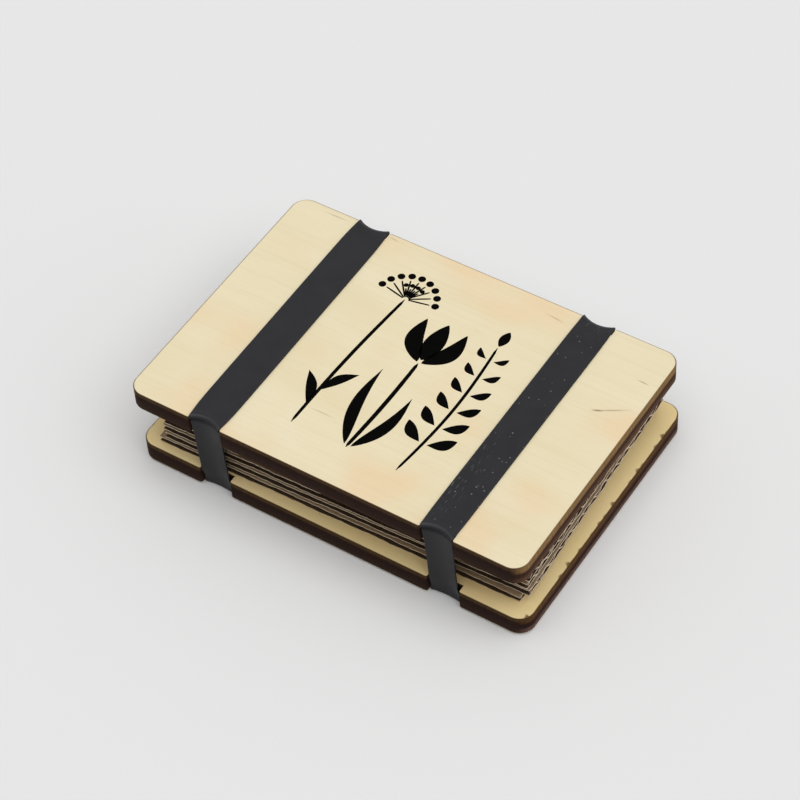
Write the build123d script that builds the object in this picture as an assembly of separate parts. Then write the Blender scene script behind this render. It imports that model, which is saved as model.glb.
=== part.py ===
"""Pocket flower press: two plywood boards, corrugated cards, blotting papers and two rubber bands.

Millimetres, +Z up. The long side lies along X, the bands run across it along Y, and the front is -Y.
The origin is under the middle of the press, on the surface that it rests on.
"""
from build123d import *
import math
import os

os.makedirs("parts", exist_ok=True)

# Boards: laser-cut birch plywood with rounded corners
board_length = 146.0
board_width = 100.0
board_thickness = 7.2
board_corner_radius = 5.5

# The boards lie a little out of line along X: the base to the right, the top to the left
board_drift = 0.7

# Notches in the long edges that keep the bands in place
notch_width = 11.8
notch_depth = 3.0
notch_lip_radius = 0.6

# Corrugated cards: two flat liners glued to the crests of a fluted medium, flutes along X
card_count = 5
card_end_margin = 6.0
card_side_margin = 5.0
card_length = board_length - card_end_margin - card_end_margin
card_width = board_width - card_side_margin - card_side_margin
card_thickness = 2.8
liner_thickness = 0.3
medium_thickness = 0.3
flute_pitch = 7.6
flute_flank_angle = 45.0
crest_rounding_share = 0.9

# The loose cards lie a little out of line and turned, from the bottom card up
card_drift = 2.4
card_drift_shares = ((0.0, -0.2), (0.95, 0.0), (0.8, -0.05), (1.0, 0.05), (0.6, 0.0))
card_turn = 2.0
card_turn_shares = (0.7, 1.0, 0.9, 0.95, 0.75)

# Blotting papers: two between each pair of cards, with the flowers laid between the two
papers_per_gap = 2
paper_end_margin = 5.0
paper_side_margin = 4.0
paper_length = card_length - paper_end_margin - paper_end_margin
paper_width = card_width - paper_side_margin - paper_side_margin
paper_thickness = 0.4

# Bands: loops of rubber, stretched round the press, that lie in the notches with their sides curled out
band_width = 11.2
band_thickness = 0.8
band_centre = 43.0
band_seat_slack = 0.15
band_curl_radius = 11.35

# Values that follow from the sizes above
half = 0.5
gap_count = card_count - 1
gap_height = papers_per_gap * paper_thickness
stack_height = card_count * card_thickness + gap_count * gap_height
layer_pitch = card_thickness + gap_height
base_bottom = band_thickness
base_top = base_bottom + board_thickness
top_bottom = base_top + stack_height
top_top = top_bottom + board_thickness
press_height = top_top + band_thickness
middle_height = press_height * half
press_core_height = top_top - base_bottom
board_edge = board_width * half
band_curl_centre = board_edge - notch_depth + band_seat_slack + band_curl_radius

# The boards lie out of line, so the bands lean: how far along X for each millimetre up
band_lean = (board_drift + board_drift) / (board_thickness + stack_height)
band_rise = (-band_lean, 0, 1)
rise_share = math.hypot(1, band_lean)


def board(middle, underside):
    """A plywood board with rounded corners and four notches, its middle and underside where given."""
    outline = RectangleRounded(board_length, board_width, board_corner_radius)
    notch = Rectangle(notch_width, notch_depth + notch_depth)
    for centre_x in (-band_centre, band_centre):
        for centre_y in (-board_edge, board_edge):
            outline -= Pos(centre_x, centre_y) * notch
    straight_run = board_length * half - board_corner_radius - notch_lip_radius
    lips = [
        corner for corner in outline.vertices()
        if abs(corner.X) < straight_run and abs(corner.Y) > board_edge - notch_lip_radius
    ]
    outline = fillet(lips, notch_lip_radius)
    return Pos(middle, 0, underside) * extrude(outline, board_thickness)


def flute_opening():
    """One flute opening seen from the card's end: wide at one liner, round at the far crest.

    The flanks lean by the flank angle. Openings that point up and down by turns, half a pitch
    apart, leave a wall of the medium's thickness between them.
    """
    inner_height = card_thickness - liner_thickness - liner_thickness
    lean = 1 / math.tan(math.radians(flute_flank_angle))
    flank_wall = medium_thickness * math.hypot(1, lean)
    widths_apart = lean * (inner_height - medium_thickness)
    widths_together = flute_pitch * half + medium_thickness * lean - flank_wall
    wide = (widths_together + widths_apart) * half
    narrow = (widths_together - widths_apart) * half
    liner_level = inner_height * half
    crest_level = medium_thickness - liner_level
    outline = make_face(Polyline(
        (-wide, liner_level),
        (-narrow, crest_level),
        (narrow, crest_level),
        (wide, liner_level),
        close=True,
    ))
    crest_corners = outline.vertices().sort_by(Axis.Y)[:2]
    quarter_turn_share = math.tan(math.radians(flute_flank_angle) * half)
    return fillet(crest_corners, crest_rounding_share * narrow / quarter_turn_share)


def layer_place(layer, height):
    """Where the card of a layer, and a paper that lies against it, sit and how they are turned."""
    share_x, share_y = card_drift_shares[layer % len(card_drift_shares)]
    turn = card_turn * card_turn_shares[layer % len(card_turn_shares)]
    return Pos(card_drift * share_x, card_drift * share_y, height) * Rot(0, 0, turn)


def corrugated_card(layer, underside):
    """A card with its flutes open at both ends."""
    opening = flute_opening()
    flute_count = math.floor(card_width / flute_pitch)
    section = Rectangle(card_width, card_thickness)
    for step in range(-flute_count, flute_count + 1):
        turn = 180 * (step % 2)
        section -= Pos(step * flute_pitch * half, 0) * Rot(0, 0, turn) * opening
    card = extrude(Plane.YZ * section, card_length * half, both=True)
    return layer_place(layer, underside + card_thickness * half) * card


def blotting_paper(layer, underside):
    """A flat sheet of absorbent paper, in line with the card of its layer."""
    sheet = extrude(Rectangle(paper_length, paper_width), paper_thickness)
    return layer_place(layer, underside) * sheet


def band_core(curl_radius, underside, height):
    """A leaning block as wide as the band, with its ends hollowed by arcs, from a height upwards."""
    plan = Rectangle(band_width, band_curl_centre + band_curl_centre)
    for centre_y in (-band_curl_centre, band_curl_centre):
        plan -= Pos(0, centre_y) * Circle(curl_radius)
    foot = band_lean * (middle_height - underside)
    return Pos(foot, 0, underside) * extrude(plan, height * rise_share, dir=band_rise)


def band_loop(centre):
    """A band round both boards: square inside where it grips them, round outside at the bends."""
    outside = band_core(band_curl_radius - band_thickness, 0, press_height)
    bends = outside.edges().filter_by(GeomType.CIRCLE)
    outside = fillet(bends, band_thickness)
    loop = outside - band_core(band_curl_radius, base_bottom, press_core_height)
    return Pos(centre, 0, 0) * loop


def half_loops(loop):
    """The lower and upper halves of a band, which part at mid-height as the rubber stretches."""
    level = Plane.XY.offset(middle_height)
    lower = split(loop, bisect_by=level, keep=Keep.BOTTOM)
    upper = split(loop, bisect_by=level, keep=Keep.TOP)
    return lower, upper


def build_press():
    """Every piece of the press by its node name, from the base board up."""
    pieces = {"base_board": board(board_drift, base_bottom)}
    for layer in range(card_count):
        card_underside = base_top + layer * layer_pitch
        pieces[f"corrugated_card_{layer + 1}"] = corrugated_card(layer, card_underside)
        if layer < gap_count:
            paper_underside = card_underside + card_thickness
            for sheet in range(papers_per_gap):
                letter = "abcdefgh"[sheet]
                height = paper_underside + sheet * paper_thickness
                pieces[f"blotting_paper_{layer + 1}{letter}"] = blotting_paper(layer + sheet, height)
    pieces["top_board"] = board(-board_drift, top_bottom)
    for side, centre in (("left", -band_centre), ("right", band_centre)):
        lower, upper = half_loops(band_loop(centre))
        pieces[f"{side}_band_lower_half"] = lower
        pieces[f"{side}_band_upper_half"] = upper
    return pieces


for name, solid in build_press().items():
    export_step(solid, f"parts/{name}.step")
    size = solid.bounding_box().size
    print(f"{name}: {size.X:.1f} x {size.Y:.1f} x {size.Z:.1f} mm, {solid.volume:.0f} mm3")
print(f"press height {press_height:.1f} mm, stack height {stack_height:.1f} mm")
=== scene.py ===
# %% [markdown]
# # A pocket flower press
# Two birch plywood boards squeeze a stack of corrugated cards and blotting papers, and two wide rubber
# bands hold the boards together. The lesson starts from a imported model of the press that moves as the
# real one does. Every piece is then made again with its finish, as a formula on numpy arrays, and each
# piece but the bands rides on the body that carries it.

# %% Load the frame
import math

import bpy
import numpy as np
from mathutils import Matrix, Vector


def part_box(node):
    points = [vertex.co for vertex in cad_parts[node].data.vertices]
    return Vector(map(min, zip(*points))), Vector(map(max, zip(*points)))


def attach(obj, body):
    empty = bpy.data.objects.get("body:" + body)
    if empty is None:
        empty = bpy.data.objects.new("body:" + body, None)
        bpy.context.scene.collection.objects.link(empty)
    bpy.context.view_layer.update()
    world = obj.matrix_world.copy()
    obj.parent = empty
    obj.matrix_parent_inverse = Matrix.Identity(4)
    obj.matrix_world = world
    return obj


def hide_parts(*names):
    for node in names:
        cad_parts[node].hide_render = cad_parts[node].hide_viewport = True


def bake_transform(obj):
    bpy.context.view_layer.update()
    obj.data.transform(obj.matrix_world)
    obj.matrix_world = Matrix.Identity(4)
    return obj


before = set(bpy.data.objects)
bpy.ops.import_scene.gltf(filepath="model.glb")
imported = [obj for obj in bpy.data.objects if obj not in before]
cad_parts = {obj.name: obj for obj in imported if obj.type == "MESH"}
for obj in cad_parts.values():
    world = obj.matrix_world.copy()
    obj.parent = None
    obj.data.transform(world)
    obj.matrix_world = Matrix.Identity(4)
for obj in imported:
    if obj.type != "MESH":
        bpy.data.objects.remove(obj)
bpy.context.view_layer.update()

MM = 0.001


def node_box(name):
    """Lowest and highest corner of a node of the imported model, as arrays in metres."""
    low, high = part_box(name)
    return np.array(low), np.array(high)


base_low, base_high = node_box("base_board")
top_low, top_high = node_box("top_board")
print("board", ((base_high - base_low) / MM).round(1), "mm, top face at", round(top_high[2] / MM, 1), "mm")

# %% [markdown]
# ## Camera
# The press was photographed from above its front right corner through a long lens, so its edges run
# nearly parallel. A camera can be pointed by eye, but here it is worked out: a direction from the
# azimuth and the elevation, a small roll about the line of sight, and a distance from the middle of
# the top face. That keeps every number one that a photographer would recognise.

# %% Place the camera
camera_azimuth = math.radians(-35.71)
camera_elevation = math.radians(49.11)
camera_roll = math.radians(-4.18)
camera_distance = 869.97 * MM
aim_right, aim_up = 1.29 * MM, 8.59 * MM
sensor_width_mm = 36.0
lens_mm = 123.36

ahead = np.array([
    math.sin(camera_azimuth) * math.cos(camera_elevation),
    math.cos(camera_azimuth) * math.cos(camera_elevation),
    -math.sin(camera_elevation),
])
level_right = np.array([math.cos(camera_azimuth), -math.sin(camera_azimuth), 0.0])
level_up = np.cross(level_right, ahead)
right = math.cos(camera_roll) * level_right + math.sin(camera_roll) * level_up
up = math.cos(camera_roll) * level_up - math.sin(camera_roll) * level_right
top_middle = np.array([*(top_low[:2] + top_high[:2]) / 2, top_high[2]])
eye = top_middle - aim_right * right - aim_up * up - camera_distance * ahead

camera_data = bpy.data.cameras.new("camera")
camera_data.sensor_width = sensor_width_mm
camera_data.lens = lens_mm
camera = bpy.data.objects.new("camera", camera_data)
placing = np.eye(4)
placing[:3, :4] = np.stack([right, up, -ahead, eye], axis=1)
camera.matrix_world = placing.T.tolist()
bpy.context.scene.collection.objects.link(camera)
bpy.context.scene.camera = camera
bpy.context.scene.view_settings.view_transform = "Standard"
print("camera at", (eye / MM).round(1), "mm")

# %% [markdown]
# ## Colours and nodes
# A colour picked on a screen is stored with a curve, and Blender's shaders want it without one, so one
# function takes that curve off. Materials are built from nodes, and one small function adds any node:
# it sets the node's own settings, and gives each input either a link or a fixed value.

# %% Helpers for colours and nodes
def colour(hex_code):
    """A screen colour as linear red, green, blue and alpha: c / 12.92, or ((c + 0.055) / 1.055) ^ 2.4."""
    screen = np.array([int(hex_code[i:i + 2], 16) for i in (1, 3, 5)]) / 255
    linear = np.where(screen <= 0.04045, screen / 12.92, ((screen + 0.055) / 1.055) ** 2.4)
    return (*linear.tolist(), 1.0)


def add_node(tree, kind, inputs, **settings):
    """Adds a node of a kind to a tree, with its settings, and links or sets its inputs."""
    node = tree.nodes.new("ShaderNode" + kind)
    for name, value in settings.items():
        setattr(node, name, value)
    for name, value in inputs.items():
        if isinstance(value, bpy.types.NodeSocket):
            tree.links.new(value, node.inputs[name])
        else:
            node.inputs[name].default_value = value
    return node


def new_material(name):
    """An empty node material, and the tree that its nodes go into."""
    material = bpy.data.materials.new(name)
    material.use_nodes = True
    material.node_tree.nodes.clear()
    return material, material.node_tree


print("white is", colour("#FFFFFF"), "and mid grey", colour("#808080"))

# %% [markdown]
# ## Steps of a finish
# Every finish of the press is built in the same few steps, so each step is a function. The piece's own
# coordinates are turned to millimetres, so that a pattern's size is written as it is on the real piece.
# Noise is stretched to that size. A tint is laid over the tone where a pattern runs from one value to
# another, and the last step gives the tone, the gloss and a fine relief to one shader.

# %% Helpers for finishes
MIX_A, MIX_B, MIX_RESULT = 6, 7, 2


def millimetres(tree):
    """The piece's own coordinates, times a thousand."""
    place = add_node(tree, "TexCoord", {})
    scaled = add_node(tree, "VectorMath", {
        0: place.outputs["Object"], "Scale": 1 / MM,
    }, operation="SCALE")
    return scaled.outputs[0]


def pattern(tree, place, size, detail):
    """Noise at a place divided by a size: one number for all ways, or one each along X, Y and Z."""
    stretched = add_node(tree, "VectorMath", {0: place, 1: np.broadcast_to(size, 3)}, operation="DIVIDE")
    noise = add_node(tree, "TexNoise", {"Vector": stretched.outputs[0], "Scale": 1.0, "Detail": detail})
    return noise.outputs[0]


def tinted(tree, tone, amount, tint, span=(0.0, 1.0), strength=1.0, curve="LINEAR"):
    """A tone mixed with a tint: not at all at the span's start, and by the strength at its end."""
    share = add_node(tree, "MapRange", {
        "Value": amount, "From Min": span[0], "From Max": span[1], "To Max": strength,
    }, interpolation_type=curve)
    mixed = add_node(tree, "Mix", {
        0: share.outputs[0], MIX_A: tone, MIX_B: colour(tint) if isinstance(tint, str) else tint,
    }, data_type="RGBA")
    return mixed.outputs[MIX_RESULT]


def finish(material, tone, roughness, ior, specular, relief=None, relief_strength=0.0, relief_mm=0.0):
    """Ends a material: one shader with its tone and gloss, and the relief of a pattern if it has one."""
    tree = material.node_tree
    inputs = {"Base Color": tone, "Roughness": roughness, "IOR": ior, "Specular IOR Level": specular}
    if relief is not None:
        bump = add_node(tree, "Bump", {
            "Strength": relief_strength, "Distance": relief_mm * MM, "Height": relief,
        })
        inputs["Normal"] = bump.outputs[0]
    shader = add_node(tree, "BsdfPrincipled", inputs)
    add_node(tree, "OutputMaterial", {"Surface": shader.outputs[0]})
    print(material.name, "has", len(tree.nodes), "nodes")


print("a plain size of 5 mm is", np.broadcast_to(5.0, 3), "along X, Y and Z")

# %% [markdown]
# ## Surfaces from grids
# Every piece below is a grid of points, worked out by a formula, with a face between each four
# neighbours. A sheet gets its thickness from a second copy of the grid and a rim round both. A small
# function turns the grid into faces, and another puts points and faces into a mesh and hands the piece
# its material. A closed shape whose volume comes out below zero has its faces turned round.

# %% Helpers for meshes
def grid_faces(rows, columns, wrap_rows=False, wrap_columns=False):
    """Faces between neighbouring points of a grid; a wrapped side joins its end to its start."""
    row, column = np.meshgrid(
        np.arange(rows if wrap_rows else rows - 1),
        np.arange(columns if wrap_columns else columns - 1),
        indexing="ij",
    )
    next_row, next_column = (row + 1) % rows, (column + 1) % columns
    corners = [
        row * columns + column,
        row * columns + next_column,
        next_row * columns + next_column,
        next_row * columns + column,
    ]
    return np.stack(corners, axis=-1).reshape(-1, 4)


def thick_sheet(middle, normal, thickness):
    """A closed sheet: the grid moved half the thickness along its normals both ways, joined by a rim."""
    rows, columns = middle.shape[:2]
    count = rows * columns
    offset = normal * thickness / 2
    points = np.concatenate([(middle + offset).reshape(-1, 3), (middle - offset).reshape(-1, 3)])
    upper = grid_faces(rows, columns)
    index = np.arange(count).reshape(rows, columns)
    rim = np.concatenate([index[0, :-1], index[:-1, -1], index[-1, :0:-1], index[:0:-1, 0]])
    beside = np.roll(rim, -1)
    wall = np.stack([beside, rim, rim + count, beside + count], axis=1)
    return points, np.concatenate([upper, upper[:, ::-1] + count, wall])


def joined(parts):
    """Several (points, faces) pairs as one pair, with each part's faces counted on from the last."""
    starts = np.cumsum([0] + [len(points) for points, _ in parts[:-1]])
    faces = [part_faces + start for (_, part_faces), start in zip(parts, starts)]
    return np.concatenate([points for points, _ in parts]), np.concatenate(faces)


def outward(points, faces):
    """The faces, turned round if the volume they enclose, a sum of corner pyramids, is below zero."""
    a, b, c, d = (points[faces[:, i]] for i in range(4))
    volume = np.einsum("ij,ij->", a, np.cross(b, c) + np.cross(c, d))
    return faces if volume > 0 else faces[:, ::-1]


def make_piece(name, points, faces, materials, sharp_degrees=35.0):
    """An object whose mesh has these points and faces, smooth up to a limit of the angle between faces."""
    mesh = bpy.data.meshes.new(name)
    mesh.from_pydata(points.tolist(), [], faces if isinstance(faces, list) else faces.tolist())
    mesh.polygons.foreach_set("use_smooth", np.ones(len(mesh.polygons), dtype=bool))
    mesh.set_sharp_from_angle(angle=math.radians(sharp_degrees))
    for material in materials:
        mesh.materials.append(material)
    piece = bpy.data.objects.new(name, mesh)
    bpy.context.scene.collection.objects.link(piece)
    print(name, len(mesh.vertices), "points", len(mesh.polygons), "faces")
    return piece


print("a grid of 3 by 4 points has", len(grid_faces(3, 4)), "faces")

# %% [markdown]
# ## Floor and light
# The press stands on a pale paper sweep under one large soft light, high up, so the shadow is broad and
# lies all round it. A sun with a wide angle is such a light, and stays even over the whole floor. The
# rest comes from the room: dark on the photographer's side, which keeps the front faces deep, and bright
# low down on the right, like a window, which reaches in under the lid at that end. Sun and room together
# show a level surface at about its own colour. The camera and reflections see a plain pale background
# instead of the room.

# %% Make the floor and the light
floor_half = 4.0
floor_steps = 9
pale_grey = colour("#E8E8E8")
sun_azimuth = math.radians(115.0)
sun_elevation = math.radians(72.0)
sun_angle = math.radians(75.0)
sky_share = 0.5
sky_strength = 0.56

# The dark side and the window: the way to each, where it starts and is full, and its level
room_sides = [
    (np.array([0.3, -0.95, 0.2]), (0.35, 0.85), 0.05),
    (np.array([0.95, 0.1, 0.3]), (0.6, 0.95), 1.7),
]

floor_material, tree = new_material("matt_paper_sweep")
shader = add_node(tree, "BsdfDiffuse", {"Color": pale_grey})
add_node(tree, "OutputMaterial", {"Surface": shader.outputs[0]})

floor_line = np.linspace(-floor_half, floor_half, floor_steps)
floor_x, floor_y = np.meshgrid(floor_line, floor_line)
floor_points = np.stack([floor_x, floor_y, 0 * floor_x], axis=-1).reshape(-1, 3)
floor = make_piece("paper_sweep", floor_points, grid_faces(floor_steps, floor_steps), [floor_material])

sun_data = bpy.data.lights.new("soft_light", "SUN")
sun_data.energy = (1 - sky_share) * math.pi / math.sin(sun_elevation)
sun_data.angle = sun_angle
sun = bpy.data.objects.new("soft_light", sun_data)
sun.rotation_euler = (math.pi / 2 - sun_elevation, 0.0, math.pi - sun_azimuth)
bpy.context.scene.collection.objects.link(sun)

world = bpy.data.worlds.new("studio")
world.use_nodes = True
tree = world.node_tree
tree.nodes.clear()
seen = add_node(tree, "TexCoord", {})
strength = sky_strength
for side, (start, full), level in room_sides:
    facing = add_node(tree, "VectorMath", {
        0: seen.outputs["Generated"], 1: side / np.linalg.norm(side),
    }, operation="DOT_PRODUCT")
    share = add_node(tree, "MapRange", {
        "Value": facing.outputs["Value"], "From Min": start, "From Max": full,
        "To Min": 1.0, "To Max": level,
    }, interpolation_type="SMOOTHSTEP")
    strength = add_node(tree, "Math", {0: strength, 1: share.outputs[0]}, operation="MULTIPLY").outputs[0]
ray = add_node(tree, "LightPath", {}).outputs
in_view = ray["Is Camera Ray"]
for kind in ("Is Glossy Ray", "Is Transmission Ray"):
    in_view = add_node(tree, "Math", {0: in_view, 1: ray[kind]}, operation="MAXIMUM").outputs[0]
light = add_node(tree, "Background", {"Color": colour("#FFFFFF"), "Strength": strength})
shown = add_node(tree, "Background", {"Color": pale_grey, "Strength": 1.0})
either = add_node(tree, "MixShader", {0: in_view, 1: light.outputs[0], 2: shown.outputs[0]})
add_node(tree, "OutputWorld", {"Surface": either.outputs[0]})
bpy.context.scene.world = world
print("sun", round(sun_data.energy, 2), "W/m2 and sky", sky_strength)

# %% [markdown]
# ## Places on a board
# The finishes of a board need to know where on it they are. A UV map that is made with the board holds
# the run along its edge and either the distance in from the edge, on a face, or the height, on the wall,
# all in millimetres. The board's own coordinates tell the base from the lid, and the ends from the middle.

# %% Helper for places on a board
between_boards_mm = (base_high[2] + top_low[2]) / 2 / MM


def board_places(tree):
    """The edge map, its two parts, 1 on the base and 0 on the lid, and millimetres from the middle."""
    edge_run = add_node(tree, "UVMap", {}, uv_map="edge_run").outputs[0]
    run = add_node(tree, "SeparateXYZ", {0: edge_run})
    place = add_node(tree, "SeparateXYZ", {0: millimetres(tree)})
    on_base = add_node(tree, "Math", {
        0: place.outputs[2], 1: between_boards_mm,
    }, operation="LESS_THAN")
    from_middle = add_node(tree, "Math", {0: place.outputs[0]}, operation="ABSOLUTE")
    return edge_run, run.outputs, on_base.outputs[0], from_middle.outputs[0]


print("the base ends below", round(between_boards_mm, 1), "mm")

# %% [markdown]
# ## Birch veneer
# The faces of the boards are rotary-cut birch, sanded and left bare: cream, with a fine grain along the
# length, faint peach clouds and a few brown mineral flecks. Streaks come from noise that is stretched
# along the grain, each at its real width. The flecks are placed one by one, because on so plain a board
# they are what the eye remembers. Where the laser cut the outline, heat browned a hair line along it. The
# base board lies with the face up that was down in the cutter, so it shows uneven scorch marks along the
# rim of its ends, where the cutting bed threw the heat back. Its face is also tinted yellower: a painted
# warm bounce light, for its ledge that lies in shade under the lid.

# %% Make the veneer
grain_length, grain_width = 45.0, 0.8
figure_length, figure_width = 60.0, 16.0
cloud_size = 34.0
pore_length, pore_width = 7.0, 0.3
base_painted_bounce = 0.5
scorch_width, scorch_span, scorch_strength = 0.55, (1.0, 0.35), 0.85
mark_pitch, mark_length, mark_depth, mark_luck = 4.0, 3.0, 1.8, 2.0
end_zone = 69.5
fleck_height = 1.0

# Middle along X and Y, half length, half width (mm), turn (degrees) and strength of each fleck
flecks = [
    (63.8, 19.4, 7.6, 0.55, 30.5, 0.5),
    (60.0, 17.2, 2.6, 0.65, 24.0, 0.75),
    (66.7, 34.4, 2.9, 0.35, -4.0, 0.65),
    (-14.1, -27.0, 6.2, 0.35, 0.0, 0.4),
    (29.1, 44.2, 4.8, 0.45, -6.0, 0.4),
    (-57.6, 47.5, 6.0, 0.5, 0.0, 0.35),
    (-35.2, 48.1, 3.0, 0.45, -8.0, 0.35),
]

birch_veneer, tree = new_material("sanded_birch_veneer")
in_mm = millimetres(tree)
figure = pattern(tree, in_mm, (figure_length, figure_width, figure_width), detail=2.0)
cloud = pattern(tree, in_mm, cloud_size, detail=1.0)
grain = pattern(tree, in_mm, (grain_length, grain_width, grain_width), detail=5.0)
pore = pattern(tree, in_mm, (pore_length, pore_width, pore_width), detail=2.0)
tone = tinted(tree, colour("#EFE6C9"), figure, "#E5D4AA")

# The tint of each pattern, where it starts and is full, and its strength
for amount, tint, span, strength in [
    (cloud, "#EDCDA2", (0.50, 0.72), 0.55),
    (grain, "#D3BA88", (0.45, 0.75), 0.13),
    (pore, "#C6A878", (0.60, 0.75), 0.15),
]:
    tone = tinted(tree, tone, amount, tint, span, strength, "SMOOTHSTEP")

for fleck_x, fleck_y, half_length, half_width, turn, strength in flecks:
    spot = add_node(tree, "Mapping", {
        "Vector": in_mm,
        "Location": (fleck_x, fleck_y, top_high[2] / MM),
        "Rotation": (0.0, 0.0, math.radians(turn)),
        "Scale": (half_length, half_width, fleck_height),
    }, vector_type="TEXTURE")
    reach = add_node(tree, "VectorMath", {0: spot.outputs[0]}, operation="LENGTH")
    tone = tinted(tree, tone, reach.outputs["Value"], "#8A5A2E", (1.0, 0.0), strength, "SMOOTHSTEP")

_, run, on_base, from_middle = board_places(tree)
# Painted warm bounce light: the base's face is tinted yellower, for its ledge in shade under the lid
tone = tinted(tree, tone, on_base, "#EBCB7C", strength=base_painted_bounce)

# Scorch marks: cells along the edge, each with its own luck, that deepen the hair line
mark_run = add_node(tree, "Math", {0: run[0], 1: mark_pitch}, operation="DIVIDE")
marks = add_node(tree, "TexVoronoi", {"W": mark_run.outputs[0], "Scale": 1.0}, voronoi_dimensions="1D")
luck = add_node(tree, "SeparateXYZ", {0: marks.outputs["Color"]})
mark_share = add_node(tree, "Math", {0: luck.outputs[0], 1: mark_luck}, operation="POWER")
mark = add_node(tree, "MapRange", {
    "Value": marks.outputs["Distance"], "From Min": mark_length / mark_pitch / 2, "From Max": 0.0,
    "To Max": mark_depth,
}, interpolation_type="SMOOTHSTEP")
at_end = add_node(tree, "Math", {0: from_middle, 1: end_zone}, operation="GREATER_THAN")
reach = mark.outputs[0]
for share in (on_base, at_end.outputs[0], mark_share.outputs[0]):
    reach = add_node(tree, "Math", {0: reach, 1: share}, operation="MULTIPLY").outputs[0]
reach = add_node(tree, "Math", {0: reach, 1: scorch_width}, operation="ADD")
scorch = add_node(tree, "Math", {0: run[1], 1: reach.outputs[0]}, operation="DIVIDE")
tone = tinted(tree, tone, scorch.outputs[0], "#4E3114", scorch_span, scorch_strength, "SMOOTHSTEP")
finish(
    birch_veneer, tone, roughness=0.6, ior=1.5, specular=0.3,
    relief=grain, relief_strength=0.25, relief_mm=0.05,
)

# %% [markdown]
# ## Scorched plywood edge
# A laser burns its way through plywood and leaves a brown to black edge. The plies take the heat
# differently, so bands show through the char: browner face veneers, and a core that is nearly black. The
# edge is lighter at the lid's ends, partly because the beam ran across the grain of the face there and
# partly as painted light, for the end that is lit from the side; the base took more heat there. Fine
# streaks stand upright, one for each pulse of the beam.

# %% Make the scorched edge
board_height_mm = (base_high[2] - base_low[2]) / MM
pulse_width, pulse_height = 0.35, 9.0
smoulder_length, smoulder_height = 14.0, 2.2
ply_wobble, ply_blend = 0.35, 0.5
notches_end = 60.0
end_turn_start, end_turn_full = 0.25, 0.95

# Tones of the lower ply, the core and the upper ply, and the shares of the height where they meet
ply_shares, end_ply_shares = (0.3, 0.8), (0.3, 0.64)
long_side = ("#38261D", "#29170F", "#49341C")
lid_end = ("#5E4230", "#3C2418", "#8E6D44")
base_end = ("#644A42", "#240E08", "#58391B")

scorched_edge, tree = new_material("laser_scorched_plywood_edge")
edge_run, run, on_base, from_middle = board_places(tree)
pulses = pattern(tree, edge_run, (pulse_width, pulse_height, 1.0), detail=3.0)
smoulder = pattern(tree, edge_run, (smoulder_length, smoulder_height, 1.0), detail=4.0)
wobble = add_node(tree, "MapRange", {"Value": smoulder, "To Min": -ply_wobble, "To Max": ply_wobble})
height = add_node(tree, "Math", {0: run[1], 1: wobble.outputs[0]}, operation="ADD")


def ply_tones(tones, shares):
    """The tone up the edge: each ply's tone gives way to the next within a millimetre."""
    tone = colour(tones[0])
    for tint, share in zip(tones[1:], shares):
        level = board_height_mm * share
        tone = tinted(tree, tone, height.outputs[0], tint, (level - ply_blend, level + ply_blend))
    return tone


facing = add_node(tree, "NewGeometry", {})
facing_parts = add_node(tree, "SeparateXYZ", {0: facing.outputs["Normal"]})
end_on = add_node(tree, "Math", {0: facing_parts.outputs[0]}, operation="ABSOLUTE")
end_turn = add_node(tree, "MapRange", {
    "Value": end_on.outputs[0], "From Min": end_turn_start, "From Max": end_turn_full,
}, interpolation_type="SMOOTHSTEP")
past_notches = add_node(tree, "Math", {0: from_middle, 1: notches_end}, operation="GREATER_THAN")
at_end = add_node(tree, "Math", {
    0: end_turn.outputs[0], 1: past_notches.outputs[0],
}, operation="MULTIPLY")
# Lighter tones at the ends: partly less char, partly painted light for the end that is lit from the side
lid_tone, base_tone = (ply_tones(tones, end_ply_shares) for tones in (lid_end, base_end))
end_tone = tinted(tree, lid_tone, on_base, base_tone)
tone = tinted(tree, ply_tones(long_side, ply_shares), at_end.outputs[0], end_tone)
tone = tinted(tree, tone, pulses, "#160E0C", span=(0.4, 0.75), strength=0.45)
finish(
    scorched_edge, tone, roughness=0.8, ior=1.45, specular=0.12,
    relief=pulses, relief_strength=0.5, relief_mm=0.1,
)

# %% [markdown]
# ## Plywood boards
# Each board is a rounded rectangle of plywood with two shallow notches in each long edge, which keep the
# bands in place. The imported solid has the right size, but its edges are perfectly sharp and its wall is
# flat. Here a ring of points runs round the outline, and a profile carries it from the middle of the
# underside, over a small softened edge, up a wall where the burnt glue lines are slightly hollow, and
# back to the middle of the top. Each ring is the outline moved in by an inset and set at a height. A
# notch is a run of points that leaves the long edge over a small rounded lip, crosses the notch's floor
# and comes back.

# %% Helpers for the outline and the profile
board_corner_radius = 5.5 * MM
edge_softening = 0.25 * MM
glue_line_hollow, glue_line_half = 0.07 * MM, 0.12 * MM
outline_spacing, corner_points = 1.0 * MM, 16
notch_width, notch_depth, notch_lip, notch_draft = 11.8 * MM, 3.0 * MM, 0.6 * MM, 0.05 * MM
lip_points, notch_floor_points = 6, 13
face_insets = np.array([0.5, 0.8, 1.2, 1.8, 2.6, 3.6, 5.0]) * MM


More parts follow.
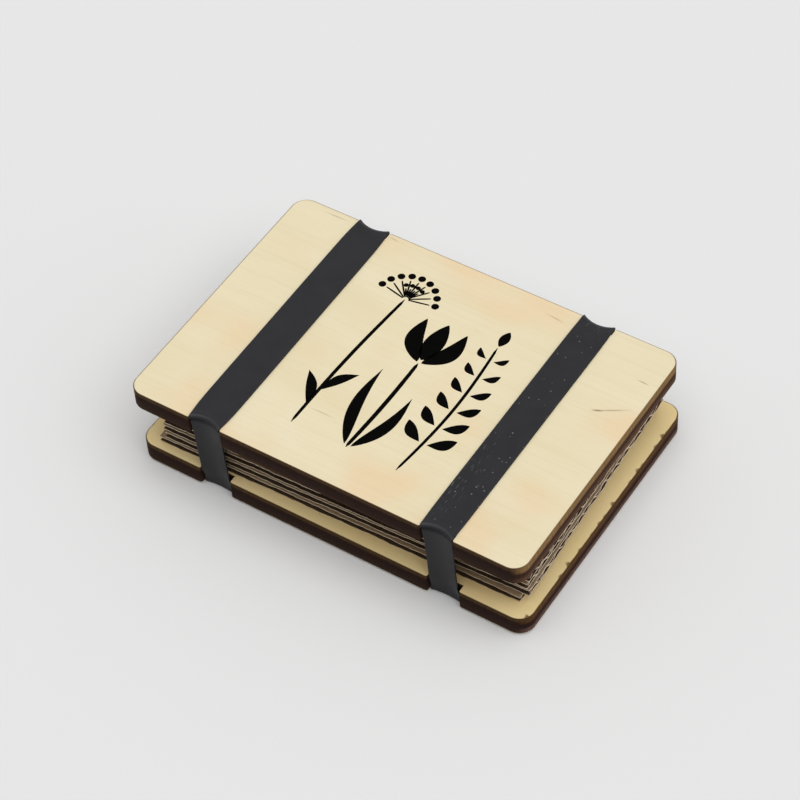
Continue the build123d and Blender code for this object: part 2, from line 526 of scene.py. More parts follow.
def rounded_outline(length, width, radius, spacing, corner_points, long_edge=None):
    """Points, outward directions and depths round a rectangle: four sides, each with a quarter circle.

    A long edge may be given as shares along it and depths behind it; other points have no depth.
    """
    core = np.array([length, width]) / 2 - radius
    corners = core * np.array([(-1, -1), (1, -1), (1, 1), (-1, 1)])
    points, directions, depths = [], [], []
    for side in range(4):
        start, end = corners[side], corners[(side + 1) % 4]
        steps = max(2, round(np.linalg.norm(end - start) / spacing))
        share, depth = np.linspace(0, 1, steps, endpoint=False), np.zeros(steps)
        if long_edge is not None and side % 2 == 0:
            share, depth = long_edge
        turn = (side - 1) * math.pi / 2 + np.concatenate([
            0 * share, np.linspace(0, math.pi / 2, corner_points, endpoint=False),
        ])
        straight = start + (end - start) * share[:, None]
        centre = np.concatenate([straight, np.tile(end, (corner_points, 1))])
        direction = np.stack([np.cos(turn), np.sin(turn)], axis=1)
        depths.append(np.concatenate([depth, np.zeros(corner_points)]))
        points.append(centre + (radius - depths[-1])[:, None] * direction)
        directions.append(direction)
    return np.concatenate(points), np.concatenate(directions), np.concatenate(depths)


def notched_edge(run, centre):
    """Shares along a straight run and depths behind it, with a notch on each side of its middle: a lip is
    a quarter circle, r (1 - sin) along and r (1 - cos) deep, and the floor is flat."""
    turn = np.linspace(0, math.pi / 2, lip_points)
    lip_x = notch_width / 2 + notch_lip * (1 - np.sin(turn))
    lip_depth = notch_lip * (1 - np.cos(turn))
    floor_reach = notch_width / 2 - notch_draft
    floor_x = np.linspace(-floor_reach, floor_reach, notch_floor_points)
    notch_x = np.concatenate([-lip_x, floor_x, lip_x[::-1]])
    depth = np.concatenate([lip_depth, np.full(notch_floor_points, notch_depth), lip_depth[::-1]])
    reach = lip_x[0]
    ends = [(-run / 2, -centre - reach), (-centre + reach, centre - reach), (centre + reach, run / 2)]
    left, middle, right_hand = (
        np.linspace(a, b, max(3, round((b - a) / outline_spacing)))[1:-1] for a, b in ends
    )
    x = np.concatenate([[-run / 2], left, notch_x - centre, middle, notch_x + centre, right_hand])
    depths = np.concatenate([[0.0], 0 * left, depth, 0 * middle, depth, 0 * right_hand])
    return x / run + 0.5, depths


def board_profile(thickness):
    """Insets and heights from the underside over the edge to the top, with the glue lines hollowed, and
    the numbers of the first and the last ring of the wall."""
    wall = [(0.0, edge_softening)]
    for share in ply_shares:
        level = share * thickness
        wall += [(0.0, level - glue_line_half), (glue_line_hollow, level), (0.0, level + glue_line_half)]
    wall += [(0.0, thickness - edge_softening)]
    under = [(inset, 0.0) for inset in face_insets[::-1]] + [(edge_softening, 0.0)]
    over = [(inset, thickness) for inset, _ in reversed(under)]
    return np.array(under + wall + over), len(under) - 1, len(under) + len(wall)


print("profile of", len(board_profile(board_height_mm * MM)[0]), "rings")

# %% [markdown]
# A board is then the outline at every ring of the profile. The faces between the wall's rings take the
# scorched edge, all others the veneer, and the edge map is filled in from the same rings.

# %% Make the boards
far_inside_mm = 20.0
left_low, right_low = (node_box(f"{side}_band_lower_half")[0] for side in ("left", "right"))
band_centre = (right_low[0] - left_low[0]) / 2


def make_board(name, low, high, body):
    """Rings of the outline, each moved in and up as the profile says, closed by a middle point each side.

    A point at the back of a notch moves in by a smaller share, so the innermost ring is free of notches.
    """
    length, width, thickness = high - low
    centre = (low + high) / 2
    long_edge = notched_edge(length - 2 * board_corner_radius, band_centre)
    outline, direction, depth = rounded_outline(
        length, width, board_corner_radius, outline_spacing, corner_points, long_edge,
    )
    profile, wall_start, wall_end = board_profile(thickness)
    rings, columns = len(profile), len(outline)
    share_in = 1 - depth / face_insets[-1]
    ground = outline[None] - (profile[:, :1] * share_in)[:, :, None] * direction[None]
    height = np.broadcast_to(profile[:, 1:, None], (rings, columns, 1))
    points = np.concatenate([ground, height], axis=2) + np.array([centre[0], centre[1], low[2]])
    middles = np.array([[centre[0], centre[1], low[2]], [centre[0], centre[1], high[2]]])
    faces = grid_faces(rings, columns, wrap_columns=True)
    column = np.arange(columns)
    beside = (column + 1) % columns
    under = np.stack([np.full(columns, rings * columns), beside, column], axis=1)
    last = (rings - 1) * columns
    over = np.stack([np.full(columns, rings * columns + 1), last + column, last + beside], axis=1)
    piece = make_piece(
        name, np.concatenate([points.reshape(-1, 3), middles]),
        faces.tolist() + under.tolist() + over.tolist(), [birch_veneer, scorched_edge],
    )
    ring_of_face = np.repeat(np.arange(rings - 1), columns)
    on_wall = (ring_of_face >= wall_start) & (ring_of_face < wall_end)
    slots = np.concatenate([on_wall, np.zeros(2 * columns, dtype=bool)]).astype(np.int32)
    piece.data.polygons.foreach_set("material_index", slots)

    step = np.linalg.norm(np.roll(outline, -1, axis=0) - outline, axis=1)
    run = np.concatenate([[0], np.cumsum(step)]) / MM
    start, end = run[:-1], run[1:]
    u = np.broadcast_to(np.stack([start, end, end, start], axis=1), (rings - 1, columns, 4))
    inset, level = profile.T / MM
    corner_rings = [ring_of_face, ring_of_face, ring_of_face + 1, ring_of_face + 1]
    v = np.stack([np.where(on_wall, level[ring], inset[ring]) for ring in corner_rings], axis=1)
    around = np.stack([u.reshape(-1, 4), v], axis=2).reshape(-1, 2)
    within = np.full((2 * columns * 3, 2), far_inside_mm)
    layer = piece.data.uv_layers.new(name="edge_run")
    layer.data.foreach_set("uv", np.concatenate([around, within]).ravel())

    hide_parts(name)
    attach(piece, body)


make_board("base_board", base_low, base_high, "base")
make_board("top_board", top_low, top_high, "top_board")

# %% [markdown]
# ## Kraft board
# Corrugated card is made of brown kraft paper: unbleached fibres, pressed matt, with darker specks and a
# soft mottle. The liners are brown outside, the medium and the insides of the liners get a darker copy
# of the kraft, a painted shade for the hollows of the flutes, and the freshly cut edges show pale. The
# fine fibres are drawn from noise a few tenths of a millimetre wide, a little coarser than the real ones
# so that they show.

# %% Make the kraft
fibre_length, fibre_width = 1.6, 0.35
mottle_size = 9.0
speck_size = 1.1


def kraft(name, light_tone, dark_tone, fibre_tone):
    """Matt kraft paper: two tones in soft mottles, paler fibres and dark specks."""
    material, tree = new_material(name)
    in_mm = millimetres(tree)
    fibre = pattern(tree, in_mm, (fibre_length, fibre_width, fibre_width), detail=3.0)
    mottle = pattern(tree, in_mm, mottle_size, detail=2.0)
    speck = pattern(tree, in_mm, speck_size, detail=1.0)
    tone = tinted(tree, colour(light_tone), mottle, dark_tone)
    tone = tinted(tree, tone, fibre, fibre_tone, span=(0.45, 0.7), strength=0.5)
    tone = tinted(tree, tone, speck, "#6F5A44", span=(0.66, 0.74), strength=0.6)
    finish(
        material, tone, roughness=0.9, ior=1.45, specular=0.15,
        relief=fibre, relief_strength=0.4, relief_mm=0.05,
    )
    return material


kraft_face = kraft("brown_kraft_liner", "#9C8468", "#8A7358", "#AE987C")
# A darker copy of the kraft: painted shade for the medium and the insides of the liners
kraft_painted_shade = kraft("kraft_medium_painted_shade", "#4E3D2C", "#3E3022", "#5C4936")
kraft_cut = kraft("pale_kraft_cut_edge", "#DCCBB5", "#C6B39B", "#E6DAC8")

# %% [markdown]
# ## Sheets
# Cards and papers are cut sheets. Their edges wander by a fraction of a millimetre, and a liner dips a
# little where no flute holds it up and is furred by the blade at its ends. The loose sheets lie turned by
# a degree or two. Each takes its middle from the box of its own node, and its turn from how much wider
# that box is than the sheet.

# %% Helpers for sheets
edge_wander, edge_power = 0.22 * MM, 8
cut_wavelengths, dip_wavelengths = (31.0, 13.0, 5.3), (41.0, 17.0)
edge_dip, dip_reach, least_dip = 0.16 * MM, 1.6 * MM, 0.6
end_burr, burr_reach = 0.16 * MM, 2.0 * MM
upright = np.array([0.0, 0.0, 1.0])


def ripple(run, seed, wavelengths_mm):
    """A wavy line from -1 to 1: the mean of sines of the given wavelengths, with seeded phases."""
    phases = np.random.default_rng(seed).uniform(0, 2 * math.pi, len(wavelengths_mm))
    waves = [np.sin(2 * math.pi * run / (w * MM) + p) for w, p in zip(wavelengths_mm, phases)]
    return np.mean(waves, axis=0)


def lying(name, size):
    """Corners of a sheet of a size as if it lay square, and the function that turns its points as it lies.

    A sheet turned by an angle has a box that is wider by about its length times the angle's sine.
    """
    low, high = node_box(name)
    middle = (low + high) / 2
    sine = (high[1] - low[1] - size[1]) / size[0]
    cosine = math.sqrt(1 - sine ** 2)
    spin = np.array([[cosine, sine, 0], [-sine, cosine, 0], [0, 0, 1]])
    half = np.array([*size / 2, (high[2] - low[2]) / 2])
    return middle - half, middle + half, lambda points: (points - middle) @ spin + middle


def cut_sheet(low, high, level, thickness, seed, dip, spacing):
    """A sheet over a box's floor plan. Near an edge, by a power of the share across, it wanders with a
    ripple; its height dips by an exponential of the way to the long edges, and towards the ends it
    thickens by another on the side that it dips to."""
    columns, rows = np.round((high - low)[:2] / spacing).astype(int)
    u, v = np.meshgrid(np.linspace(0, 1, columns), np.linspace(0, 1, rows))
    x = low[0] + u * (high[0] - low[0])
    y = low[1] + v * (high[1] - low[1])
    front, back = (1 + ripple(x, seed + k, cut_wavelengths) for k in (0, 1))
    left, right_end = (1 + ripple(y, seed + k, cut_wavelengths) for k in (2, 3))
    x_cut = x + edge_wander * ((1 - u) ** edge_power * left - u ** edge_power * right_end)
    y_cut = y + edge_wander * ((1 - v) ** edge_power * front - v ** edge_power * back)
    to_edge = np.minimum(y - low[1], high[1] - y)
    to_end = np.minimum(x - low[0], high[0] - x)
    sag = least_dip + (1 - least_dip) * ripple(x, seed + 4, dip_wavelengths)
    burr = np.sign(dip) * end_burr * np.exp(-to_end / burr_reach)
    z = level + burr / 2 + dip * np.exp(-to_edge / dip_reach) * sag
    furred = (thickness + np.abs(burr))[..., None]
    return thick_sheet(np.stack([x_cut, y_cut, z], axis=2), upright, furred)


print("cut edges wander by up to", round(2 * edge_wander / MM, 2), "mm")

# %% [markdown]
# ## Corrugated cards
# A card is two flat liners glued to a waved medium between them. The flutes run along the press, so their
# ends are open at its short sides. The medium is a sheet whose height follows a cosine across the card,
# and it stands back a little from the liners' front and back edges. Which way a face points tells whether
# it is an outer face, a face within the card, which takes the painted shade, or a cut edge.

# %% Make the cards
card_count = 5
card_size = np.array([134.0, 90.0]) * MM
liner_thickness = 0.3 * MM
medium_thickness = 0.42 * MM
flute_pitch = 7.6 * MM
medium_inset = np.array([0.3, 0.9, 0.0]) * MM
medium_columns, points_per_flute = 12, 24
liner_spacing = np.array([2.0, 1.0]) * MM
seeds_per_card, upper_liner_seed = 10, 5
cut_facing = 0.5


def waved_medium(low, high, middle_y):
    """The medium: its height is minus the wave height times the cosine of the run across, and it is thick
    along its normal."""
    wave_height = (high[2] - low[2]) / 2 - liner_thickness - medium_thickness / 2
    rows = points_per_flute * round((high[1] - low[1]) / flute_pitch)
    x, y = np.meshgrid(np.linspace(low[0], high[0], medium_columns), np.linspace(low[1], high[1], rows))
    phase = 2 * math.pi * (y - middle_y) / flute_pitch
    z = (low[2] + high[2]) / 2 - wave_height * np.cos(phase)
    slope = wave_height * np.sin(phase) * 2 * math.pi / flute_pitch
    normal = np.stack([0 * slope, -slope, np.ones_like(slope)], axis=2)
    normal /= np.linalg.norm(normal, axis=2, keepdims=True)
    return thick_sheet(np.stack([x, y, z], axis=2), normal, medium_thickness)


for number in range(1, card_count + 1):
    name = f"corrugated_card_{number}"
    low, high, turned = lying(name, card_size)
    lower, upper = low[2] + liner_thickness / 2, high[2] - liner_thickness / 2
    seed = seeds_per_card * number
    parts = [
        cut_sheet(low, high, lower, liner_thickness, seed, edge_dip, liner_spacing),
        waved_medium(low + medium_inset, high - medium_inset, (low[1] + high[1]) / 2),
        cut_sheet(low, high, upper, liner_thickness, seed + upper_liner_seed, -edge_dip, liner_spacing),
    ]
    points, faces = joined([(part, outward(part, part_faces)) for part, part_faces in parts])
    card = make_piece(name, turned(points), faces, [kraft_face, kraft_painted_shade, kraft_cut])
    normals = np.empty(3 * len(faces))
    card.data.polygons.foreach_get("normal", normals)
    facing_x, _, facing_z = normals.reshape(-1, 3).T
    layer = np.repeat([-1, 0, 1], [len(part_faces) for _, part_faces in parts])
    # Faces of the medium and of the liners' insides take the painted shade
    shaded_faces = (layer == 0) | (facing_z * layer < 0)
    cut = (np.abs(facing_x) > cut_facing) | ((layer != 0) & (np.abs(facing_z) < cut_facing))
    card.data.polygons.foreach_set("material_index", np.where(cut, 2, shaded_faces).astype(np.int32))
    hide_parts(name)
    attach(card, name)

# %% [markdown]
# ## Blotting papers
# Two soft white papers lie in each gap between the cards, and a flower goes between the two. Blotting
# paper is thick, matt and slightly cream, with a felt mark from the machine. In the shut press it lies
# flat, so the sheet only has its wandering edge.

# %% Make the papers
paper_size = np.array([124.0, 82.0]) * MM
paper_spacing = 1.5 * liner_spacing
felt_size = 0.6
cream_size = 25.0
paper_seed, seeds_per_gap = 1000, 20

blotting_paper, tree = new_material("matt_blotting_paper")
in_mm = millimetres(tree)
felt = pattern(tree, in_mm, felt_size, detail=3.0)
cream = pattern(tree, in_mm, cream_size, detail=1.0)
tone = tinted(tree, colour("#E2DACB"), cream, "#D3C8B4")
tone = tinted(tree, tone, felt, "#BCAE97", span=(0.5, 0.8), strength=0.3)
finish(
    blotting_paper, tone, roughness=0.95, ior=1.45, specular=0.1,
    relief=felt, relief_strength=0.5, relief_mm=0.05,
)

for gap in range(1, card_count):
    for letter in "ab":
        name = f"blotting_paper_{gap}{letter}"
        low, high, turned = lying(name, paper_size)
        seed = paper_seed + seeds_per_gap * gap + ord(letter)
        sheet = cut_sheet(
            low, high, (low[2] + high[2]) / 2, high[2] - low[2], seed, 0.0, paper_spacing,
        )
        paper = make_piece(name, turned(sheet[0]), outward(*sheet), [blotting_paper])
        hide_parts(name)
        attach(paper, name)

# %% [markdown]
# ## Band rubber
# The bands are cut from a sheet of black rubber: a dark grey satin that picks up dust. The sheen comes
# from the shader's roughness, broken up by a soft mottle where hands have worn it. Dust settles where
# the band lies level. It is drawn as pale specks, one in a few cells of a Voronoi pattern, at about the
# size of real lint, and as thin smears. One band has lain about more than the other, so each takes its
# own amount. Where a band folds over the lid, a thin painted highlight runs along its lip, and under
# the lip, where the rubber is pinched, a painted shade darkens it and makes it rough. Two numbers stored
# at each of the band's points say where.

# %% Make the rubber
rub_size = 7.0
patch_size = 21.0
skin_size = 0.5
smear_size = (0.5, 3.0, 3.0)
dust_cell = 1.5
least_speck, largest_speck, speck_strength = 0.06, 0.2, 0.5
level_start, level_full = 0.3, 0.9
least_roughness, most_roughness = 0.4, 0.5


def rubber(name, dust_share, smear_share):
    """Black sheet rubber with a share of dusty cells and of smeared patches."""
    material, tree = new_material(name)
    in_mm = millimetres(tree)
    rub, skin, smears, patches = (
        pattern(tree, in_mm, size, detail=3.0) for size in (rub_size, skin_size, smear_size, patch_size)
    )
    facing = add_node(tree, "NewGeometry", {})
    facing_parts = add_node(tree, "SeparateXYZ", {0: facing.outputs["Normal"]})
    settled = add_node(tree, "MapRange", {
        "Value": facing_parts.outputs[2], "From Min": level_start, "From Max": level_full,
    })

    dust_place = add_node(tree, "VectorMath", {0: in_mm, "Scale": 1 / dust_cell}, operation="SCALE")
    dust = add_node(tree, "TexVoronoi", {"Vector": dust_place.outputs[0], "Scale": 1.0})
    luck = add_node(tree, "SeparateXYZ", {0: dust.outputs["Color"]})
    chosen = add_node(tree, "Math", {0: luck.outputs[0], 1: dust_share}, operation="LESS_THAN")
    size = add_node(tree, "MapRange", {
        "Value": luck.outputs[1], "To Min": least_speck, "To Max": largest_speck,
    })
    reach = add_node(tree, "Math", {0: dust.outputs["Distance"], 1: size.outputs[0]}, operation="DIVIDE")
    speck = add_node(tree, "MapRange", {
        "Value": reach.outputs[0], "From Min": 1.0, "From Max": 0.5, "To Max": speck_strength,
    })
    smear = add_node(tree, "MapRange", {
        "Value": smears, "From Min": 0.6, "From Max": 0.75, "To Max": smear_share,
    })
    patch = add_node(tree, "MapRange", {"Value": patches, "From Min": 0.5, "From Max": 0.65})

    tone = tinted(tree, colour("#121215"), rub, "#222226")
    for drawn, place, tint in [(speck, chosen, "#B9B4AA"), (smear, patch, "#8A8680")]:
        amount = drawn.outputs[0]
        for share in (place.outputs[0], settled.outputs[0]):
            amount = add_node(tree, "Math", {0: amount, 1: share}, operation="MULTIPLY").outputs[0]
        tone = tinted(tree, tone, amount, tint)
    # Painted shade under the lip and a painted grey highlight along it, read from the band's points
    painted_crease_shade, painted_lip_highlight = (
        add_node(tree, "Attribute", {}, attribute_name=label).outputs["Fac"]
        for label in ("painted_crease_shade", "painted_lip_highlight")
    )
    tone = tinted(tree, tone, painted_crease_shade, "#050506")
    tone = tinted(tree, tone, painted_lip_highlight, "#3C3C42", strength=0.5)
    satin = add_node(tree, "MapRange", {
        "Value": rub, "From Min": 0.3, "From Max": 0.7,
        "To Min": least_roughness, "To Max": most_roughness,
    })
    gloss = add_node(tree, "Math", {0: satin.outputs[0], 1: painted_crease_shade}, operation="MAXIMUM")
    finish(
        material, tone, roughness=gloss.outputs[0], ior=1.5, specular=0.27,
        relief=skin, relief_strength=0.15, relief_mm=0.03,
    )
    return material


clean_rubber = rubber("black_band_rubber", dust_share=0.02, smear_share=0.05)
dusty_rubber = rubber("dusty_black_band_rubber", dust_share=0.34, smear_share=0.4)

# %% [markdown]
# ## The path of a band
# A band is a loop of flat rubber stretched round both boards: two level runs and two walls, with a tight
# quarter circle at each fold. Points are crowded towards the folds, where the shape changes fastest.
# Later steps need to know how far each place is from a fold, and whether it is on a run or on a wall.

# %% Helpers for the path
bend_radius = 0.2 * MM
run_points, wall_points, bend_points = 56, 44, 12
press_half_width = (top_high[1] - top_low[1]) / 2


def crowded(count):
    """Shares from 0 up to 1, crowded towards both ends: (1 - cos) / 2 of even steps."""
    return (1 - np.cos(np.linspace(0, math.pi, count, endpoint=False))) / 2


def loop_path():
    """Places round the loop as shares of its width and heights, outward angles, distances from the nearest
    bend, and a share that is 0 on runs and 1 on walls."""
    core_low, core_high = base_low[2] + bend_radius, top_high[2] - bend_radius
    corners = np.array([(1, core_high), (-1, core_high), (-1, core_low), (1, core_low)])
    places, angles, distances, wall_shares = [], [], [], []
    for number in range(4):
        start, end = corners[number], corners[(number + 1) % 4]
        on_wall = number % 2
        share = crowded(wall_points if on_wall else run_points)
        bend = np.linspace(0, 1, bend_points, endpoint=False)
        straight = start + (end - start) * share[:, None]
        places.append(np.concatenate([straight, np.tile(end, (bend_points, 1))]))
        angles.append(math.pi / 2 * (1 + number + np.concatenate([0 * share, bend])))
        length = core_high - core_low if on_wall else 2 * press_half_width
        distances.append(np.concatenate([np.minimum(share, 1 - share) * length, 0 * bend]))
        wall_shares.append(np.concatenate([on_wall + 0 * share, 1 - bend if on_wall else bend]))
    return tuple(np.concatenate(part) for part in (places, angles, distances, wall_shares))


print("the path has", len(loop_path()[0]), "places")

# %% [markdown]
# ## Rubber bands
# A band is wider than the notches it lies in, so it draws in at each fold and its sides curl outwards,
# which leaves the walls hollow across. The curl is strong at the lid and fades towards the floor. At the
# lid's edge the rubber bulges into a small lip, and below the lip it is pinched. A flat section with
# rounded edges is carried round the path with all of this added to it. The boards lie a little out of
# line, so the loop leans.

# %% Make the bands
band_thickness = 0.8 * MM
band_slack = 0.12 * MM
section_rounding, section_spacing, section_corner_points = 0.35 * MM, 0.45 * MM, 6
narrowing_reach, bend_clearance = 4.0 * MM, 0.1 * MM
curl_radius, floor_curl_share, curl_rise = 10.0 * MM, 0.35, 7.0 * MM
lip_bulge, lip_reach_on_run, lip_reach_on_wall = 0.6 * MM, 1.2 * MM, 0.45 * MM
least_lip = 0.3
crease_middle, crease_reach, crease_depth = 1.1 * MM, 0.45 * MM, 0.6 * MM
highlight_middle, highlight_reach, shade_start = 0.35, 0.18, 0.5
band_sharp_degrees = 50.0
middle_height = (base_low[2] + top_high[2]) / 2
board_lean = (base_low[0] - top_low[0]) / (top_low[2] - base_low[2])
lean_share = 0.9
band_lean = lean_share * board_lean


def bell(distance, reach):
    """A bell curve of a distance: the exponential of minus its square over the reach squared."""
    return np.exp(-(distance / reach) ** 2)


def make_band(side, centre_x, run_half_width, wall_half_width, skew, material):
    """A flat rounded section carried round the loop. Across the band its path stands off the notch's
    floor by a circle's rise, r - sqrt(r^2 - x^2). The outer face bulges as a bell round each upper bend,
    and a second bell, below it on the wall, is pinched in."""
    places, angles, distances, wall_share = loop_path()
    along, heights = places[:, :1], places[:, 1:]
    on_wall, at_lid = wall_share == 1, places[:, 1] > middle_height
    outline, _, _ = rounded_outline(
        2 * run_half_width, band_thickness, section_rounding, section_spacing, section_corner_points,
    )
    core = run_half_width - section_rounding
    share = np.clip(outline[:, 0] / core, -1, 1)
    edge = outline[:, 0] - share * core
    stand_off = outline[:, 1] + band_thickness / 2

    bend_half_width = min(run_half_width, notch_width / 2 - bend_clearance)
    half_width = np.where(on_wall, wall_half_width, run_half_width)
    half_width = half_width + (bend_half_width - half_width) * np.exp(-distances / narrowing_reach)
    across = share * (half_width - section_rounding)[:, None] + edge

    up_share = (heights - base_low[2]) / (top_high[2] - base_low[2])
    free_share = np.clip((heights - base_low[2]) / curl_rise, floor_curl_share, 1)
    curl = (curl_radius - np.sqrt(curl_radius ** 2 - across ** 2)) * free_share
    seat = press_half_width - notch_depth + band_slack + curl
    lip_reach = np.where(wall_share > 0, lip_reach_on_wall, lip_reach_on_run)
    lip_share = np.sin(math.pi / 2 * np.clip(wall_share, least_lip, 1))
    bulge = lip_bulge * lip_share * bell(distances, lip_reach)
    pinch = bell(distances - crease_middle, crease_reach) * (at_lid & on_wall)
    relief = bulge[:, None] * up_share - crease_depth * pinch[:, None]
    off = bend_radius + stand_off + relief * stand_off / band_thickness
    y = along * (seat - bend_radius) + np.cos(angles)[:, None] * off
    z = heights + np.sin(angles)[:, None] * off
    drift = -skew * y / press_half_width - band_lean * (z - middle_height)
    points = np.stack([centre_x + drift + across, y, z], axis=2)
    rows, columns = points.shape[:2]
    points = points.reshape(-1, 3)
    faces = outward(points, grid_faces(rows, columns, wrap_rows=True, wrap_columns=True))
    band = make_piece(f"{side}_band", points, faces, [material], band_sharp_degrees)

    # A painted highlight along the upper part of each lid fold, and a painted shade from the fold's lower
    # part down the wall below the lip
    painted_lip_highlight = bell(wall_share - highlight_middle, highlight_reach) * at_lid
    below_lip = bell(np.maximum(distances - crease_middle, 0), crease_reach)
    on_lip = np.clip((wall_share - shade_start) / (1 - shade_start), 0, 1) ** 2
    painted_crease_shade = np.where(on_wall, below_lip, on_lip) * at_lid
    for label, values in [("painted_crease_shade", painted_crease_shade), ("painted_lip_highlight", painted_lip_highlight)]:
        stored = band.data.attributes.new(label, "FLOAT", "POINT")
        stored.data.foreach_set("value", np.repeat(values, columns))
    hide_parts(f"{side}_band_lower_half", f"{side}_band_upper_half")
    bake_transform(band)


# Each band's side and middle, its half width on runs and on walls and its skew (mm), and its rubber
for side, centre_x, run_half, wall_half, skew, material in [
    ("left", -band_centre, 6.5, 5.4, 0.15, clean_rubber),
    ("right", band_centre, 6.1, 5.15, 0.1, dusty_rubber),
]:
    make_band(side, centre_x, run_half * MM, wall_half * MM, skew * MM, material)

# %% [markdown]
# ## Ink shapes
# The lid carries a print in flat black ink between the bands. A flat shape could be drawn as a curve and
# filled, but leaves, petals and stalks are all the same thing: a curved midrib with a width that swells
# and tapers along it. So one function of two parameters, along the midrib and across it, makes them all,
# and another makes the round seeds. The ink stands a few hundredths of a millimetre proud of the wood.

# %% Helpers for the print
ink_above, ink_below = 0.03 * MM, 0.03 * MM
leaf_steps, leaf_lanes = 28, 4
seed_steps, seed_lanes = 20, 5
least_half_width = 0.05
stalk_blunt = 0.12

printers_ink, tree = new_material("matt_black_printing_ink")
streak_length = grain_length / 4
streaks = pattern(tree, millimetres(tree), (streak_length, grain_width, grain_width), detail=4.0)
tone = tinted(tree, colour("#020202"), streaks, "#0A0908")
finish(printers_ink, tone, roughness=0.9, ior=1.5, specular=0.03)


def ink_slab(flat):
    """A grid of flat places in millimetres as a closed slab of ink on the lid."""
    level = top_high[2] + (ink_above - ink_below) / 2
    middle = np.concatenate([flat * MM, np.full((*flat.shape[:2], 1), level)], axis=2)
    points, faces = thick_sheet(middle, upright, ink_above + ink_below)
    return points, outward(points, faces)


def leaf(foot, tip, width, bow=0.0, belly=0.5, blunt=1.0):
    """A leaf, petal or stalk: a midrib from foot to tip, bowed sideways by a sine, and a half width that
    follows a power of a sine, whose peak moves with belly, so both ends come to a point."""
    rise = tip - foot
    sideways = np.array([-rise[1], rise[0]]) / np.linalg.norm(rise)
    along, across = np.meshgrid(
        np.linspace(0, 1, leaf_steps), np.linspace(-1, 1, leaf_lanes), indexing="ij",
    )
    swell = np.sin(math.pi * along ** (math.log(0.5) / math.log(belly))) ** blunt
    half = np.maximum(swell * width / 2, least_half_width)
    reach = bow * np.sin(math.pi * along) + across * half
    return ink_slab(foot + along[..., None] * rise + reach[..., None] * sideways)


def stalk(foot, tip, width, bow=0.0):
    """A stalk of nearly even width: a leaf whose half width is a very blunt power of the sine."""
    return leaf(foot, tip, width, bow, blunt=stalk_blunt)


def seed_dot(centre, radius):
    """A round seed: a square grid drawn in to a disc, x by the root of 1 - y^2 / 2 and the other way."""
    ring, turn = np.meshgrid(
        np.linspace(-1, 1, seed_lanes), np.linspace(-1, 1, seed_steps), indexing="ij",
    )
    x = radius * ring * np.sqrt(1 - turn ** 2 / 2)
    y = radius * turn * np.sqrt(1 - ring ** 2 / 2)
    return ink_slab(centre + np.stack([x, y], axis=2))


# %% [markdown]
# ## Printed flowers
# Three wild flowers stand side by side: an umbel, a tulip and a leafy spray. Each is a function of its
# foot and its head, and the tables in it hold the sizes of its leaves, petals and rays in millimetres.

# %% Make the print
def umbel(foot, head):
    """A stalk with two leaves, and two fans of rays, one long and one short, with a seed on each ray."""
    stalk_width, stalk_bow = 1.3, 0.8
    leaf_width, leaf_bow = 3.6, 1.2
    ray_width, seed_gap = 0.6, 0.6
    parts = [stalk(foot, head, stalk_width, stalk_bow)]
    # Foot and tip of each leaf from the stalk's foot, and the side that it bows to
    for start, end, sign in [((0.9, 16.0), (8.0, 27.0), 1), ((-0.4, 9.0), (-7.0, 21.0), -1)]:
        parts.append(leaf(foot + start, foot + end, leaf_width, sign * leaf_bow))
    # Rays in a fan, its half angle, where a ray starts and where its seed lies, and the seed's radius
    for count, fan, start, length, radius in [(9, 78.0, 1.0, 10.4, 1.3), (4, 29.0, 1.8, 6.4, 0.85)]:
        for turn in np.radians(np.linspace(-fan, fan, count)):
            way = np.array([math.sin(turn), math.cos(turn)])
            end = length - radius - seed_gap
            parts.append(stalk(head + start * way, head + end * way, ray_width))
            parts.append(seed_dot(head + length * way, radius))
    return parts


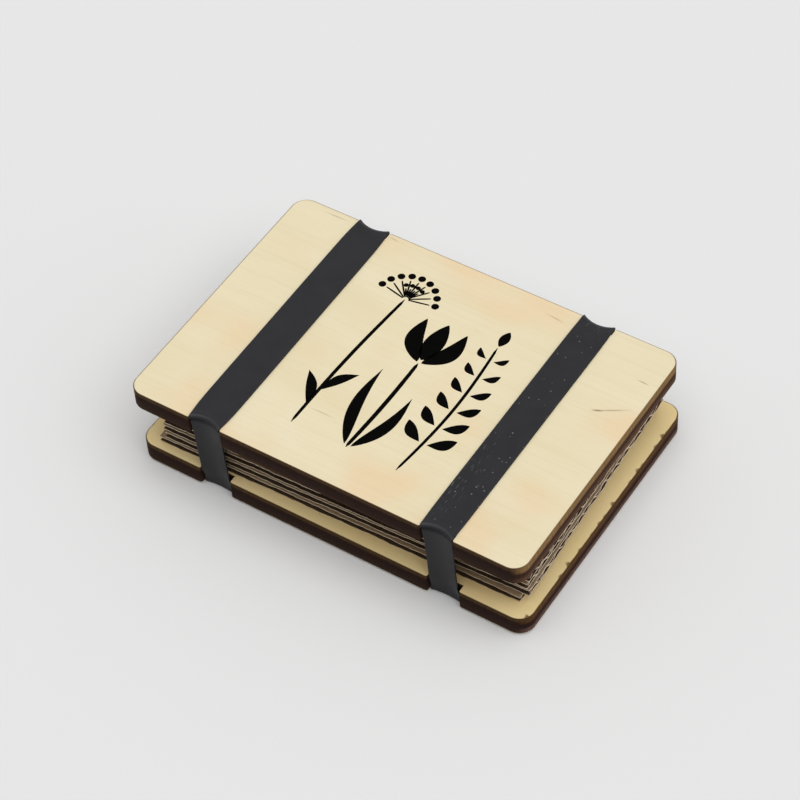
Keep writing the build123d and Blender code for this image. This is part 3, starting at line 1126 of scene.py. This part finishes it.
def tulip(foot, head):
    """A stalk with two long leaves, and a cup of three petals with narrow gaps between them."""
    stalk_width, stalk_bow, stalk_gap = 1.5, -0.5, 0.8
    petal_belly, petal_blunt = 0.45, 0.8
    leaf_width, leaf_belly = 4.2, 0.4
    parts = [stalk(foot, head - (0.0, stalk_gap), stalk_width, stalk_bow)]
    # Foot and tip of each petal from the head, its width and its bow
    for start, end, width, bow in [
        ((0.0, 0.8), (0.0, 18.0), 6.8, 0.0),
        ((-0.9, -0.4), (-7.6, 17.0), 6.0, 2.6),
        ((0.9, -0.4), (7.6, 17.0), 6.0, -2.6),
    ]:
        parts.append(leaf(head + start, head + end, width, bow, petal_belly, petal_blunt))
    # Foot and tip of each leaf from the stalk's foot, and its bow
    for start, end, bow in [((-1.2, 1.0), (-7.4, 33.0), 2.4), ((1.2, 1.0), (7.4, 27.0), -2.4)]:
        parts.append(leaf(foot + start, foot + end, leaf_width, bow, leaf_belly))
    return parts


def leafy_spray(foot, tip):
    """A bowed stalk with pairs of oval leaves that shrink towards the tip, and a bud at its end."""
    stalk_width, stalk_bow, pairs = 1.1, -2.0, 6
    first_share, share_step = 0.22, 0.135
    first_length, length_step, leaf_slimness = 9.6, 0.9, 0.42
    leaf_gap, leaf_bow, leaf_belly, leaf_blunt = 0.6, 0.9, 0.55, 0.8
    forwards, outwards = 0.62, 0.78
    bud_start, bud_end, bud_width = 0.01, 0.13, 3.4
    parts = [stalk(foot, tip, stalk_width, stalk_bow)]
    rise = tip - foot
    ahead_way = rise / np.linalg.norm(rise)
    sideways = np.array([-ahead_way[1], ahead_way[0]])
    for step in range(pairs):
        share = first_share + share_step * step
        joint = foot + share * rise + stalk_bow * math.sin(math.pi * share) * sideways
        length = first_length - length_step * step
        for sign in (-1, 1):
            way = forwards * ahead_way + outwards * sign * sideways
            start = joint + sign * sideways + leaf_gap * way
            end, width = start + length * way, leaf_slimness * length
            parts.append(leaf(start, end, width, leaf_bow * sign, leaf_belly, leaf_blunt))
    bud_foot, bud_tip = tip + bud_start * rise, tip + bud_end * rise
    parts.append(leaf(bud_foot, bud_tip, bud_width, blunt=leaf_blunt))
    return parts


for name, draw, foot, head in [
    ("printed_umbel", umbel, (-20.5, -35.0), (-17.5, 27.0)),
    ("printed_tulip", tulip, (0.0, -35.0), (1.0, 6.5)),
    ("printed_leafy_spray", leafy_spray, (18.5, -35.0), (19.5, 24.0)),
]:
    ink = make_piece(name, *joined(draw(np.array(foot), np.array(head))), [printers_ink])
    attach(ink, "top_board")
